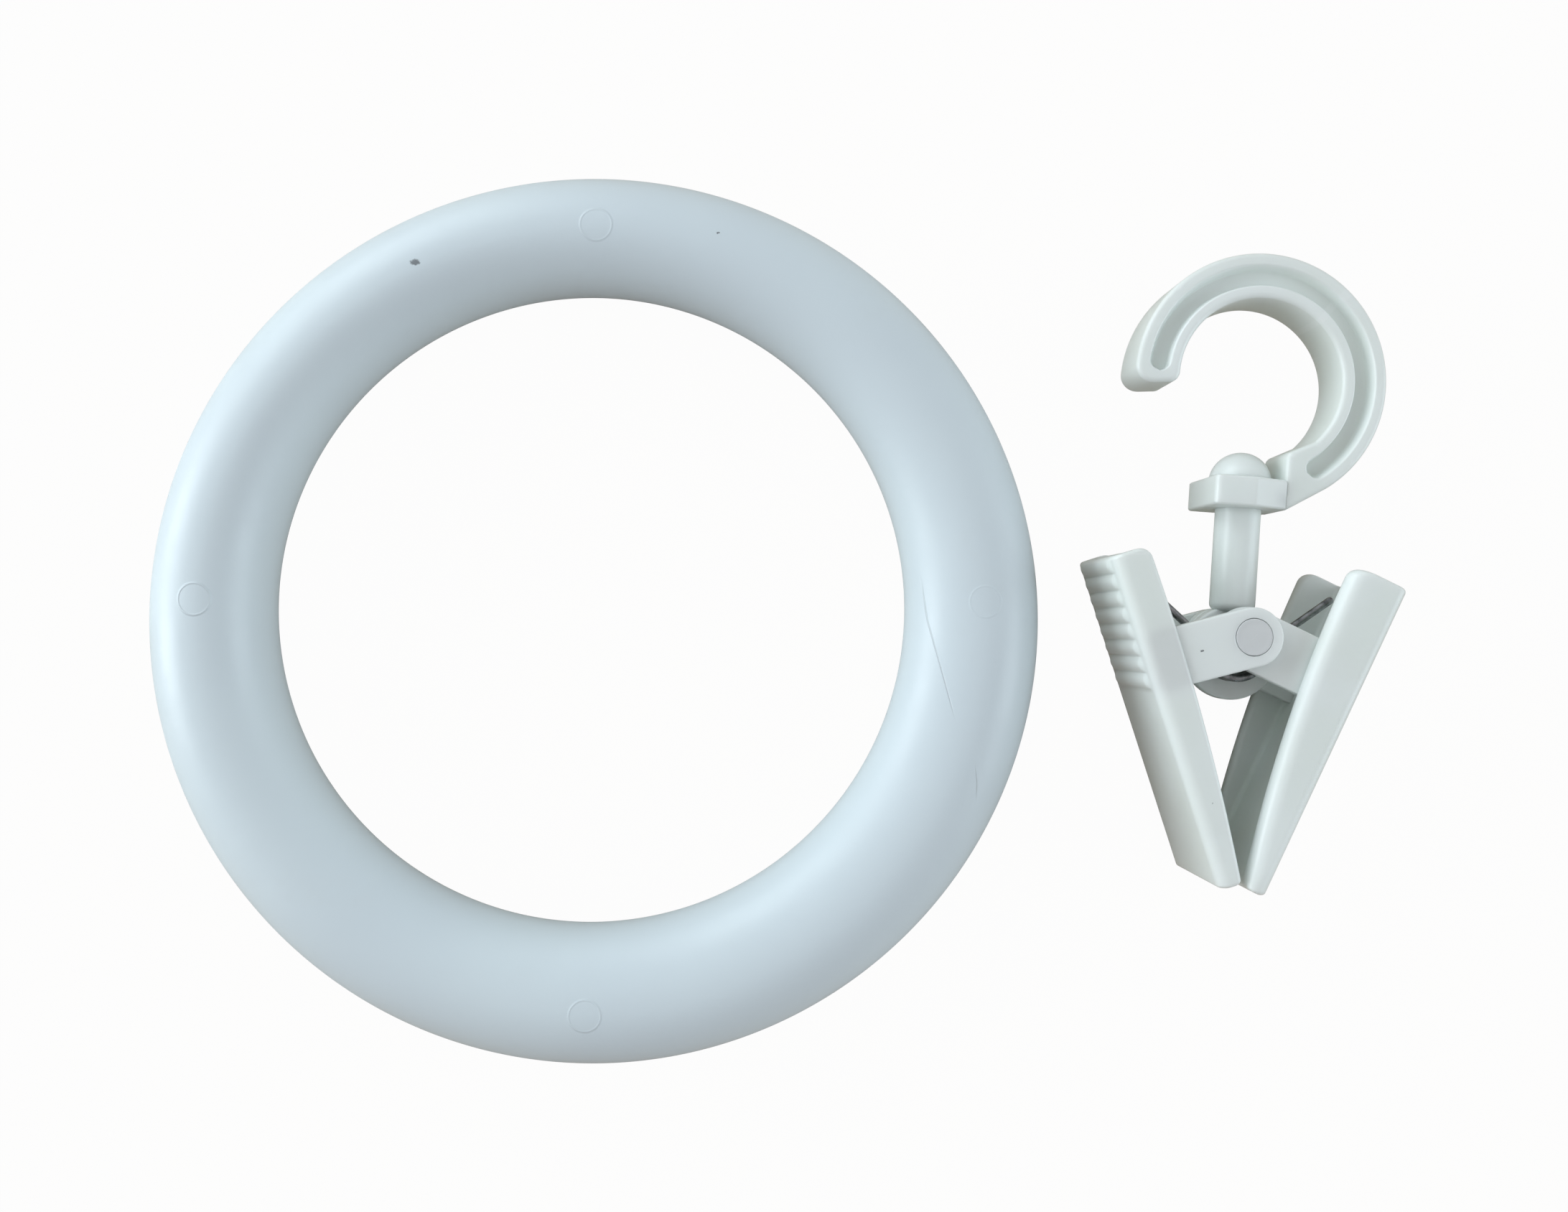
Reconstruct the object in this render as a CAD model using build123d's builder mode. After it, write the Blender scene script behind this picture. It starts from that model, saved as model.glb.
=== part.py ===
"""Curtain ring and its swivelling sprung clip, lying flat side by side."""
from build123d import *
from math import cos, degrees, hypot, pi, radians, sin
import os

# Ring: a round moulded tube whose hole sits a little off its outline
ring_outer_d = 70.0
ring_hole_d = 50.0
ring_height = 10.0
hole_shift_x = -0.65
hole_shift_y = 0.85
ring_land = 0.2

# Clip as a whole: the pivot's place beside the ring and the lean of the stem
clip_width = 11.2
pivot_x = 50.55
pivot_y = -1.44
stem_lean = 4.0

# Hook: a C-shaped limb on an arm, heights along the stem from the pivot
hook_inner_r = 6.5
hook_limb_w = 3.55
hook_thickness = 5.0
hook_centre_x = 0.4
hook_centre_y = 20.45
hook_tip_angle = 185.7
hook_foot_angle = -55.4
hook_inner_foot_angle = -45.0
hook_rim_round = 0.4
hook_tip_outer_round = 1.5
hook_tip_inner_round = 0.8
arm_wall_x = 2.8
arm_wall_top = 14.75
arm_foot_x = 2.98
arm_top_round = 0.7

# Groove along both faces of the limb
groove_rim_w = 0.9
groove_depth = 0.9
groove_end_inset = 0.9
groove_foot_angle = -54.4

# Collar: the eye under the hook in which the stem turns
collar_bottom = 10.25
collar_height = 2.35
collar_left = 3.05
collar_half_depth = 3.5
collar_front_right = 0.15
collar_corner_round = 0.45

# Stem: domed head, shaft and flat round foot
shaft_d = 3.55
shaft_end = 2.05
shaft_shoulder = 0.6
stem_clearance = 0.06
dome_r = 2.42
dome_height = 2.2
foot_r = 3.74
foot_thickness = 1.3
foot_drop = 1.3

# Pivot pin: shank with a flat head let into the near arm
pin_d = 2.0
pin_head_d = 2.85
pin_clearance = 0.06

# Arms of the two jaws, side by side on the pin
outer_arm_recess = 0.3
outer_arm_thickness = 1.1
outer_arm_half_w = 2.3
outer_arm_angle = 198.2
arm_gap = 0.1
inner_arm_thickness = 1.1
inner_arm_half_w = 2.35
inner_arm_angle = -21.5

# Jaws: channels with their flanges turned inwards
jaw_lean = 21.8
left_tip_x = -1.45
left_tip_y = -19.5
left_length = 26.8
left_web_t = 1.3
left_flange_t = 1.2
left_depth_top = 2.95
left_depth_mid = 2.85
left_depth_tip = 1.75
right_tip_x = 2.09
right_tip_y = -19.84
right_length = 26.1
right_web_t = 1.4
right_flange_t = 1.6
right_depth_top = 4.6
right_depth_mid = 3.85
right_depth_tip = 1.6
flange_top_round = 1.0
tip_round = 0.4
ridge_round = 0.9
left_free_round = 0.35
right_free_round = 1.0

# Grip ribs across the outer faces, near the handle ends
rib_count = 8
rib_pitch = 1.34
rib_proud = 0.35
rib_end_inset = 0.55

# Low seats on the channel floors, on which the spring's legs press
seat_width = 1.3
seat_length = 3.2
seat_clearance = 0.05

# Torsion spring: a coil that hangs on the pin and two legs, each with one bend
wire_d = 0.6
coil_inner_d = 4.0
coil_turn_count = 2
coil_side_gap = 0.15
coil_drop = 0.95
coil_offset = -0.2
leg_start_angle = -38.6
leg_first_run = 3.85
leg_bend = 13.5
leg_bend_run = 0.5
leg_last_run = 4.86

# Places worked out from the sizes above
half_width = clip_width / 2
crown_r = (ring_outer_d - ring_height) / 2
land_inner_r = crown_r - hypot(hole_shift_x, hole_shift_y) - ring_land
hook_outer_r = hook_inner_r + hook_limb_w
hook_centre = (hook_centre_x, hook_centre_y)
groove_w = hook_limb_w - 2 * groove_rim_w
groove_r = hook_inner_r + hook_limb_w / 2
collar_top = collar_bottom + collar_height
arm_root_x = shaft_d / 2 + 2 * stem_clearance
outer_arm_z = half_width - outer_arm_recess - outer_arm_thickness
inner_arm_z = outer_arm_z - arm_gap - inner_arm_thickness
coil_r = (coil_inner_d + wire_d) / 2
coil_z = foot_thickness / 2 + coil_side_gap + wire_d / 2
coil_travel = inner_arm_z - foot_thickness / 2 - 2 * coil_side_gap - wire_d

lean_x = Vector(cos(radians(stem_lean)), -sin(radians(stem_lean)), 0)
clip_plane = Plane(origin=(pivot_x, pivot_y, half_width), x_dir=lean_x, z_dir=(0, 0, 1))
stem_axis = Axis(clip_plane.origin, clip_plane.y_dir)


def in_clip(x, y, z=0.0):
    """A point given in the clip's own frame, from the pivot with y along the stem."""
    return clip_plane.from_local_coords(Vector(x, y, z))


def jaw_side(tip_x, tip_y, inward):
    """Side plane of a jaw: x runs inwards from the web's outer face, y runs up it from the tip."""
    origin = in_clip(tip_x, tip_y)
    across = in_clip(tip_x + inward * cos(radians(jaw_lean)), tip_y + sin(radians(jaw_lean))) - origin
    return Plane(origin=origin, x_dir=across, z_dir=(0, 0, inward))


def outside_collar(edge):
    """Whether an edge of the hook reaches past the stretch that the collar covers."""
    ends = [clip_plane.to_local_coords(edge @ k) for k in (0, 1)]
    return any(end.X > arm_foot_x + hook_rim_round or end.Y > collar_top + hook_rim_round for end in ends)


def polar(radius, angle):
    """Offset of a point at a radius and an angle."""
    return Vector(radius * cos(radians(angle)), radius * sin(radians(angle)), 0)


collar_plane = Plane(origin=in_clip(0, collar_bottom), x_dir=lean_x, z_dir=clip_plane.y_dir)
left_side = jaw_side(left_tip_x, left_tip_y, 1)
right_side = jaw_side(right_tip_x, right_tip_y, -1)

# Spring legs, seen along the pin: where the coil is left, the bend and the tip
leg_heading = leg_start_angle + 90
leg_leaves = polar(coil_r, leg_start_angle)
leg_bends = leg_leaves + polar(leg_first_run, leg_heading)
leg_ends = leg_bends + polar(leg_last_run, leg_heading - leg_bend)
coil_turn = 2 * (90 + leg_start_angle) + 360 * coil_turn_count
coil_pitch = coil_travel * 360 / coil_turn
leg_rise = coil_pitch / (2 * pi * coil_r)


def leg_point(flat, run, side):
    """A point of a leg: side +1 is the right leg, which is the one next to the stem's foot."""
    end_z = coil_z if side > 0 else coil_z + coil_travel
    return in_clip(coil_offset + side * flat.X, flat.Y - coil_drop, end_z - side * leg_rise * run)


def depth_in(side, shape):
    """Depth of a shape's centre from the outer face of a jaw's web."""
    return side.to_local_coords(shape.center()).X


def channel(side, length, web_t, flange_t, depths, free_round):
    """A jaw's channel: side outline across the clip's width, outer edges rounded, hollowed from inside."""
    depth_top, depth_mid, depth_tip = depths
    with BuildSketch(side.offset(-half_width)) as outline:
        with BuildLine():
            Polyline((depth_tip, 0), (0, 0), (0, length), (depth_top, length))
            ThreePointArc((depth_top, length), (depth_mid, length / 2), (depth_tip, 0))
        make_face()
    extrude(outline.sketch, amount=clip_width)
    fillet(edges().filter_by(lambda e: e.length > length * 0.8 and depth_in(side, e) > web_t), free_round)
    with BuildSketch(Plane(origin=side.origin, x_dir=side.x_dir, z_dir=side.y_dir)) as section:
        with Locations((depth_top, 0)):
            Rectangle(2 * depth_top, clip_width)
        fillet(vertices().group_by(Axis.X)[0], ridge_round)
    extrude(section.sketch, amount=length, mode=Mode.INTERSECT)
    with BuildSketch(side.offset(-half_width)) as rounded:
        add(outline.sketch_local)
        fillet(vertices().group_by(Axis.Y)[-1].sort_by(Axis.X)[-1], flange_top_round)
        fillet(vertices().group_by(Axis.Y)[0], tip_round)
    extrude(rounded.sketch, amount=clip_width, mode=Mode.INTERSECT)
    inside = half_width - flange_t
    with BuildSketch(side.offset(-inside)) as hollow:
        with Locations((web_t, -depth_top)):
            Rectangle(2 * depth_top, length + 2 * depth_top, align=(Align.MIN, Align.MIN))
    extrude(hollow.sketch, amount=2 * inside, mode=Mode.SUBTRACT)


def grip_ribs(side, length, web_t):
    """Half-round ribs across the web's outer face, from the handle end down."""
    rib_r = ((rib_pitch / 2) ** 2 + rib_proud ** 2) / (2 * rib_proud)
    reach = half_width - rib_end_inset
    with BuildSketch(side.offset(-reach)) as ribs:
        with Locations(*[(rib_r - rib_proud, length - (k + 0.5) * rib_pitch) for k in range(rib_count)]):
            Circle(rib_r)
        with Locations((-rib_proud, length - rib_count * rib_pitch)):
            Rectangle(
                rib_proud + web_t / 2, rib_count * rib_pitch, align=(Align.MIN, Align.MIN), mode=Mode.INTERSECT
            )
    extrude(ribs.sketch, amount=2 * reach)


def spring_seat(side, web_t, leg_side):
    """A low block on the channel's floor under the tip of a spring leg."""
    tip = side.to_local_coords(leg_point(leg_ends, leg_first_run + leg_last_run, leg_side))
    height = tip.X - wire_d / 2 - seat_clearance - web_t / 2
    with BuildSketch(side.offset(tip.Z - seat_width / 2)) as seat:
        with Locations((web_t / 2, tip.Y - seat_length / 2)):
            Rectangle(height, seat_length, align=(Align.MIN, Align.MIN))
    extrude(seat.sketch, amount=seat_width)


def arm_pair(side, z_inner, thickness, half_w, angle, web_t):
    """Two round-ended arms from the web to the pivot, one at each side of the mid-plane."""
    reach = side.to_local_coords(clip_plane.origin).X - web_t / 2
    for z_start in (z_inner, -z_inner - thickness):
        with BuildSketch(clip_plane.offset(z_start)) as arm:
            Circle(half_w)
            Rectangle(reach, 2 * half_w, rotation=angle, align=(Align.MIN, Align.CENTER))
        extrude(arm.sketch, amount=thickness)


with BuildPart() as curtain_ring:
    with BuildSketch(Plane.XZ):
        with BuildLine():
            Line((crown_r, 0), (crown_r, ring_height))
            ThreePointArc((crown_r, 0), (ring_outer_d / 2, ring_height / 2), (crown_r, ring_height))
        make_face()
    revolve(axis=Axis.Z)
    with BuildSketch(Plane.XY):
        Circle(crown_r)
        with Locations((hole_shift_x, hole_shift_y)):
            Circle(land_inner_r, mode=Mode.SUBTRACT)
    extrude(amount=ring_height)
    with BuildSketch(Plane(origin=(hole_shift_x, hole_shift_y, 0), x_dir=(1, 0, 0), z_dir=(0, -1, 0))):
        with Locations((land_inner_r, ring_height / 2)):
            Ellipse(land_inner_r - ring_hole_d / 2, ring_height / 2)
        with Locations((land_inner_r, 0)):
            Rectangle(land_inner_r, ring_height, align=(Align.MIN, Align.MIN), mode=Mode.SUBTRACT)
    revolve(axis=Axis((hole_shift_x, hole_shift_y, 0), (0, 0, 1)))

curtain_ring.part.label = "curtain_ring"


with BuildPart() as hook:
    with BuildSketch(clip_plane.offset(-hook_thickness / 2)):
        with BuildLine():
            outer_arc = CenterArc(hook_centre, hook_outer_r, hook_foot_angle, hook_tip_angle - hook_foot_angle)
            inner_arc = CenterArc(
                hook_centre, hook_inner_r, hook_inner_foot_angle, hook_tip_angle - hook_inner_foot_angle
            )
            Line(outer_arc @ 1, inner_arc @ 1)
            Polyline(
                inner_arc @ 0,
                (arm_wall_x, arm_wall_top),
                (arm_wall_x, collar_top),
                (arm_root_x, collar_top),
                (arm_root_x, collar_bottom),
                (arm_foot_x, collar_bottom),
                outer_arc @ 0,
            )
        make_face()
        fillet(vertices().sort_by_distance(outer_arc @ 1)[0], hook_tip_outer_round)
        fillet(vertices().sort_by_distance(inner_arc @ 1)[0], hook_tip_inner_round)
        fillet(vertices().sort_by_distance((arm_wall_x, arm_wall_top))[0], arm_top_round)
    extrude(amount=hook_thickness)
    rims = faces().filter_by(Axis.Z).edges().filter_by(outside_collar)
    fillet(rims, hook_rim_round)
    # Groove on both faces, with rounded ends and a rounded floor
    inset = degrees((groove_w / 2 + groove_end_inset) / groove_r)
    groove_arc = CenterArc(
        hook_centre, groove_r, groove_foot_angle, hook_tip_angle - inset - groove_foot_angle, mode=Mode.PRIVATE
    )
    for face_z in (hook_thickness / 2, groove_depth - hook_thickness / 2):
        with BuildSketch(clip_plane.offset(face_z - groove_depth)):
            SlotArc(groove_arc, groove_w)
        extrude(amount=groove_depth, mode=Mode.SUBTRACT)
    # Collar with sloping fronts that run into the arm
    with BuildSketch(collar_plane):
        with BuildLine():
            Polyline(
                (-collar_left, -collar_half_depth),
                (collar_front_right, -collar_half_depth),
                (arm_foot_x, -hook_thickness / 2),
                (arm_foot_x, hook_thickness / 2),
                (collar_front_right, collar_half_depth),
                (-collar_left, collar_half_depth),
                close=True,
            )
        make_face()
        fillet(vertices().group_by(Axis.X)[0], collar_corner_round)
    extrude(amount=collar_height)
    with BuildSketch(collar_plane):
        Circle(shaft_d / 2 + stem_clearance)
    extrude(amount=collar_height, mode=Mode.SUBTRACT)

hook.part.label = "hook"


with BuildPart() as swivel_stem:
    head_base = collar_top + stem_clearance
    dome_sphere_r = (dome_r ** 2 + dome_height ** 2) / (2 * dome_height)
    with BuildSketch(clip_plane):
        with BuildLine():
            Polyline(
                (0, head_base + dome_height),
                (0, shaft_end),
                (shaft_d / 2 - shaft_shoulder, shaft_end),
                (shaft_d / 2, shaft_end + shaft_shoulder),
                (shaft_d / 2, head_base),
                (dome_r, head_base),
            )
            RadiusArc((dome_r, head_base), (0, head_base + dome_height), -dome_sphere_r)
        make_face()
    revolve(axis=stem_axis)
    with BuildSketch(clip_plane.offset(-foot_thickness / 2)):
        with Locations((0, -foot_drop)):
            Circle(foot_r)
        Circle(pin_d / 2 + pin_clearance, mode=Mode.SUBTRACT)
    extrude(amount=foot_thickness)

swivel_stem.part.label = "swivel_stem"


with BuildPart() as left_jaw:
    left_depths = (left_depth_top, left_depth_mid, left_depth_tip)
    channel(left_side, left_length, left_web_t, left_flange_t, left_depths, left_free_round)
    grip_ribs(left_side, left_length, left_web_t)
    spring_seat(left_side, left_web_t, -1)
    arm_pair(left_side, outer_arm_z, outer_arm_thickness, outer_arm_half_w, outer_arm_angle, left_web_t)
    with BuildSketch(clip_plane.offset(outer_arm_z)):
        Circle(pin_head_d / 2)
    extrude(amount=outer_arm_thickness, mode=Mode.SUBTRACT)
    with BuildSketch(clip_plane.offset(-outer_arm_z - outer_arm_thickness)):
        Circle(pin_d / 2)
    extrude(amount=outer_arm_thickness, mode=Mode.SUBTRACT)

left_jaw.part.label = "left_jaw"


with BuildPart() as right_jaw:
    right_depths = (right_depth_top, right_depth_mid, right_depth_tip)
    channel(right_side, right_length, right_web_t, right_flange_t, right_depths, right_free_round)
    grip_ribs(right_side, right_length, right_web_t)
    spring_seat(right_side, right_web_t, 1)
    arm_pair(right_side, inner_arm_z, inner_arm_thickness, inner_arm_half_w, inner_arm_angle, right_web_t)
    with BuildSketch(clip_plane.offset(-outer_arm_z)):
        Circle(pin_d / 2 + pin_clearance)
    extrude(amount=2 * outer_arm_z, mode=Mode.SUBTRACT)

right_jaw.part.label = "right_jaw"


with BuildPart() as pivot_pin:
    with BuildSketch(clip_plane.offset(-outer_arm_z - outer_arm_thickness)):
        Circle(pin_d / 2)
    extrude(amount=2 * outer_arm_z + outer_arm_thickness)
    with BuildSketch(clip_plane.offset(outer_arm_z)):
        Circle(pin_head_d / 2)
    extrude(amount=outer_arm_thickness)

pivot_pin.part.label = "pivot_pin"


with BuildPart() as torsion_spring:
    coil_plane = Plane(
        origin=in_clip(coil_offset, -coil_drop, coil_z),
        x_dir=in_clip(*polar(1, leg_start_angle)) - in_clip(0, 0),
        z_dir=(0, 0, 1),
    )
    coil = Edge.make_helix(coil_pitch, coil_travel, coil_r, lefthand=True).moved(coil_plane.location)
    with BuildLine() as wire_path:
        add(coil)
        for leg_side, coil_end in ((1, coil @ 0), (-1, coil @ 1)):
            heading = polar(1, leg_heading)
            bent = polar(1, leg_heading - leg_bend)
            before = leg_point(leg_bends - heading * leg_bend_run, leg_first_run - leg_bend_run, leg_side)
            after = leg_point(leg_bends + bent * leg_bend_run, leg_first_run + leg_bend_run, leg_side)
            tip = leg_point(leg_ends, leg_first_run + leg_last_run, leg_side)
            Line(coil_end, before)
            Spline(before, after, tangents=(before - coil_end, tip - after))
            Line(after, tip)
    right_tip = leg_point(leg_ends, leg_first_run + leg_last_run, 1)
    right_after = leg_point(leg_bends, leg_first_run, 1)
    with BuildSketch(Plane(origin=right_tip, z_dir=right_after - right_tip)):
        Circle(wire_d / 2)
    sweep(path=wire_path.wire())

torsion_spring.part.label = "torsion_spring"


os.makedirs("parts", exist_ok=True)
for piece in (curtain_ring, hook, swivel_stem, left_jaw, right_jaw, pivot_pin, torsion_spring):
    export_step(piece.part, f"parts/{piece.part.label}.step")
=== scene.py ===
"""Looks of a round curtain ring and its swivelling sprung clip, white moulded plastic on a pale floor."""
import logging
import math
from dataclasses import dataclass
from enum import Enum

import bmesh
import bpy
import numpy as np
from mathutils import Matrix, Vector


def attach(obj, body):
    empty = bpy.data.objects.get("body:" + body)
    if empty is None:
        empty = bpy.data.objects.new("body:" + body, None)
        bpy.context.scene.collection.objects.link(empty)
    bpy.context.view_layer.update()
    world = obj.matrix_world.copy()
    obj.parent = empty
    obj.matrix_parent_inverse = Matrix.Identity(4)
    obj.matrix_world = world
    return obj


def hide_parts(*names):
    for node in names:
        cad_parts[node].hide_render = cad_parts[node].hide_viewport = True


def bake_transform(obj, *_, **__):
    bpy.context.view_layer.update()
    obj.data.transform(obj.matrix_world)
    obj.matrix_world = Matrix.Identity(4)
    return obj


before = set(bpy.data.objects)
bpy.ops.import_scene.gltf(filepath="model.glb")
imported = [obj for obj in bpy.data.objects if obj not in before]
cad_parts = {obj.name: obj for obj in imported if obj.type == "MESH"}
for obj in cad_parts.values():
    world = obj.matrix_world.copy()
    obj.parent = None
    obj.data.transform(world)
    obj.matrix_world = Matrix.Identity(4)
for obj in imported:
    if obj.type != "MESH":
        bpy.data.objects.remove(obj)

MM = 0.001
LOG = logging.getLogger("curtain_ring")


# Shapes as arrays


def polar(radius: np.ndarray | float, degrees: np.ndarray | float) -> np.ndarray:
    """Points on a circle round the origin: radius times (cos, sin) of the angle.

    Args:
        radius: one radius or an array of them, in millimetres.
        degrees: one angle or an array of them.

    Returns:
        An array whose last axis is (x, y).
    """
    angle = np.radians(degrees)
    return np.stack([radius * np.cos(angle), radius * np.sin(angle)], -1)


def eased(length: float, coarse: float, fine: float, start: float = 0.0, end: float = 0.0) -> np.ndarray:
    """Stations along a length, evenly spaced in the middle and crowded towards rounded ends.

    Within a rounded end of radius r the stations are r * (1 - cos k), which follows a quarter circle evenly.

    Args:
        length: the whole length.
        coarse: the spacing in the middle.
        fine: the spacing wanted along the quarter circles.
        start: the radius of the rounded start, or 0.
        end: the radius of the rounded end, or 0.

    Returns:
        Increasing stations from 0 to the length.
    """
    parts = [np.array([0.0])]
    if start:
        turn = np.linspace(0, np.pi / 2, max(4, int(start * 1.6 / fine)))[1:]
        parts.append(start * (1 - np.cos(turn)))
    middle = np.linspace(start, length - end, max(2, int((length - start - end) / coarse) + 1))
    parts.append(middle[1:])
    if end:
        turn = np.linspace(np.pi / 2, 0, max(4, int(end * 1.6 / fine)))[1:]
        parts.append(length - end * (1 - np.cos(turn)))
    return np.unique(np.concatenate(parts).round(7))


def round_drop(distance: np.ndarray, radius: float) -> np.ndarray:
    """How far a rounded rim has dropped at a distance in from the edge: r - sqrt(r^2 - (r - d)^2)."""
    into = np.clip(radius - distance, 0, radius)
    return radius - np.sqrt(np.maximum(radius ** 2 - into ** 2, 0))


def smooth(value: np.ndarray) -> np.ndarray:
    """The S-curve 3 t^2 - 2 t^3 of a value clipped to 0..1."""
    t = np.clip(value, 0, 1)
    return t * t * (3 - 2 * t)


def from_line(points: np.ndarray, line: np.ndarray) -> np.ndarray:
    """Distance of each point from a polyline: the least over its segments, all worked out at once.

    Args:
        points: (..., 2) points.
        line: (n, 2) corners of the polyline.

    Returns:
        Distances, with the shape of points without its last axis.
    """
    flat = points.reshape(-1, 1, 2)
    start, run = line[:-1], np.diff(line, axis=0)
    share = ((flat - start) * run).sum(-1) / np.maximum((run ** 2).sum(-1), 1e-12)
    nearest = start + np.clip(share, 0, 1)[..., None] * run
    return np.sqrt(((flat - nearest) ** 2).sum(-1)).min(1).reshape(points.shape[:-1])


def rounded_polygon(corners: list[tuple[float, float, float]], step: float) -> np.ndarray:
    """A closed polygon whose corners are arcs, sampled along its edge.

    Each corner is (x, y, radius), counterclockwise. The arc's tangent points lie r / tan(half the corner) away from
    it, and its centre on the bisector.

    Args:
        corners: the corners with their radii.
        step: the spacing of points along the edge.

    Returns:
        (n + 1, 2) points, the last one equal to the first.
    """
    xy = np.array([c[:2] for c in corners], float)
    back, ahead = np.roll(xy, 1, 0) - xy, np.roll(xy, -1, 0) - xy
    back /= np.linalg.norm(back, axis=1)[:, None]
    ahead /= np.linalg.norm(ahead, axis=1)[:, None]
    half = np.arccos(np.clip((back * ahead).sum(1), -1, 1)) / 2
    pieces = []
    for corner, (b, a, h) in enumerate(zip(back, ahead, half)):
        radius = corners[corner][2]
        centre = xy[corner] + (a + b) / np.linalg.norm(a + b) * radius / math.sin(h)
        away = radius / math.tan(h)
        first, last = xy[corner] + b * away - centre, xy[corner] + a * away - centre
        angle0 = math.atan2(first[1], first[0])
        sweep = (math.atan2(last[1], last[0]) - angle0 + math.pi) % (2 * math.pi) - math.pi
        angles = angle0 + sweep * np.linspace(0, 1, 33)
        pieces.append(centre + radius * np.stack([np.cos(angles), np.sin(angles)], -1))
    loop = np.concatenate(pieces + [pieces[0][:1]])
    return evenly(loop, step)


def travelled(line: np.ndarray) -> np.ndarray:
    """How far along a polyline each of its corners lies, from 0."""
    return np.concatenate([[0.0], np.cumsum(np.linalg.norm(np.diff(line, axis=0), axis=1))])


def evenly(line: np.ndarray, step: float) -> np.ndarray:
    """A polyline sampled again at even steps along it.

    Args:
        line: (n, k) corners, close together where it bends.
        step: the spacing wanted.

    Returns:
        (m, k) points, with the first and the last corner kept.
    """
    travel = travelled(line)
    stations = np.linspace(0, travel[-1], math.ceil(travel[-1] / step) + 1)
    return np.stack([np.interp(stations, travel, line[:, k]) for k in range(line.shape[1])], -1)


def edge_normals(loop: np.ndarray) -> np.ndarray:
    """Outward normals of a closed counterclockwise loop whose last point repeats its first."""
    tangent = np.roll(loop[:-1], -1, 0) - np.roll(loop[:-1], 1, 0)
    normal = np.stack([tangent[:, 1], -tangent[:, 0]], -1)
    normal /= np.maximum(np.linalg.norm(normal, axis=1), 1e-12)[:, None]
    return np.concatenate([normal, normal[:1]])


def plate(outline: np.ndarray, low: float, high: float, edge: float, hole: np.ndarray | None = None) -> np.ndarray:
    """A flat plate with quarter-round edges, as one grid of rows that run from its middle round the rim and back.

    Row by row the outline is pushed in along its normals by edge * (1 - sin k) while the height turns through
    edge * (1 - cos k); the first and last rows are the middle point or the hole, and a hole's wall closes the grid.

    Args:
        outline: (n, 2) closed outline, counterclockwise.
        low: height of the lower face.
        high: height of the upper face.
        edge: radius of the rounded edges.
        hole: (n, 2) closed hole loop with as many points, or None.

    Returns:
        (rows, n, 3) points.
    """
    turn = np.linspace(0, np.pi / 2, 7)
    inset = np.concatenate([[edge * 1.25], edge * (1 - np.sin(turn))])
    rise = np.concatenate([[0.0], edge * (1 - np.cos(turn))])
    normal = edge_normals(outline)
    level = np.ones(len(outline))
    lower = [np.column_stack([outline - normal * i, level * (low + r)]) for i, r in zip(inset, rise)]
    upper = [np.column_stack([outline - normal * i, level * (high - r)]) for i, r in zip(inset, rise)]
    middle = hole if hole is not None else np.repeat(outline[:-1].mean(0)[None], len(outline), 0)
    inner = outline - normal * inset[0]
    shares = [0.0, 0.03, 0.25, 0.5, 0.75, 0.93]
    bottom, top = (
        [np.column_stack([middle + (inner - middle) * share, np.full(len(middle), height)]) for share in shares]
        for height in (low, high)
    )
    rows = [*bottom, *lower, *upper[::-1], *top[::-1]]
    if hole is not None:
        rows.append(bottom[0])
    return np.stack(rows)


def circle(centre: tuple[float, float], radius: float, count: int) -> np.ndarray:
    """A closed circle of count + 1 points, the last one equal to the first."""
    return np.array(centre) + polar(radius, np.linspace(0, 360, count + 1))


def stadium(half_width: float, reach: float, angle: float, step: float, corner: float = 0.6) -> np.ndarray:
    """An arm's outline: a half circle round the pivot and two straight sides that run off at an angle.

    Args:
        half_width: radius of the half circle.
        reach: how far the sides run from the pivot.
        angle: the direction in which they run off, in degrees.
        step: the spacing of points along the outline.
        corner: radius of the two far corners, which lie inside the web.

    Returns:
        (n, 2) closed outline.
    """
    nose = polar(half_width, np.linspace(90, 270, 145))
    lower = [reach - corner, corner - half_width] + polar(corner, np.linspace(-90, 0, 33))
    upper = [reach - corner, half_width - corner] + polar(corner, np.linspace(0, 90, 33))
    loop = np.concatenate([nose, lower, upper, nose[:1]])
    turned = polar(np.linalg.norm(loop, axis=1), np.degrees(np.arctan2(loop[:, 1], loop[:, 0])) + angle)
    return evenly(turned, step)


def same_turn(outline: np.ndarray, radius: float) -> np.ndarray:
    """A circle round the origin with one point for each point of an outline, in the same direction from the origin."""
    return polar(radius, np.degrees(np.arctan2(outline[:, 1], outline[:, 0])))


def lathe(profile: np.ndarray, count: int) -> np.ndarray:
    """A profile of (radius, height) turned through a full circle round the height axis.

    Args:
        profile: (n, 2) radii and heights.
        count: steps round the circle.

    Returns:
        (n, count + 1, 3) points as (x, y, height).
    """
    turn = np.linspace(0, 2 * np.pi, count + 1)
    return np.stack(
        [
            profile[:, :1] * np.cos(turn),
            profile[:, :1] * np.sin(turn),
            np.repeat(profile[:, 1:], count + 1, 1),
        ],
        -1,
    )


# The clip's own frame and the meshes


@dataclass(frozen=True)
class ClipFrame:
    """The clip's frame: origin at the pivot, y along the stem, x across it, z up from the floor."""

    pivot: tuple[float, float, float] = (50.55, -1.44, 5.6)
    lean: float = 4.0

    def place(self, points: np.ndarray) -> np.ndarray:
        """Points of the clip's frame in the row frame, in metres.

        Args:
            points: (..., 3) points in millimetres.

        Returns:
            The same array turned by the lean, moved to the pivot and scaled to metres.
        """
        c, s = math.cos(math.radians(self.lean)), math.sin(math.radians(self.lean))
        x, y, z = points[..., 0], points[..., 1], points[..., 2]
        turned = np.stack([x * c + y * s, y * c - x * s, z], -1)
        return (turned + np.array(self.pivot)) * MM


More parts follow.
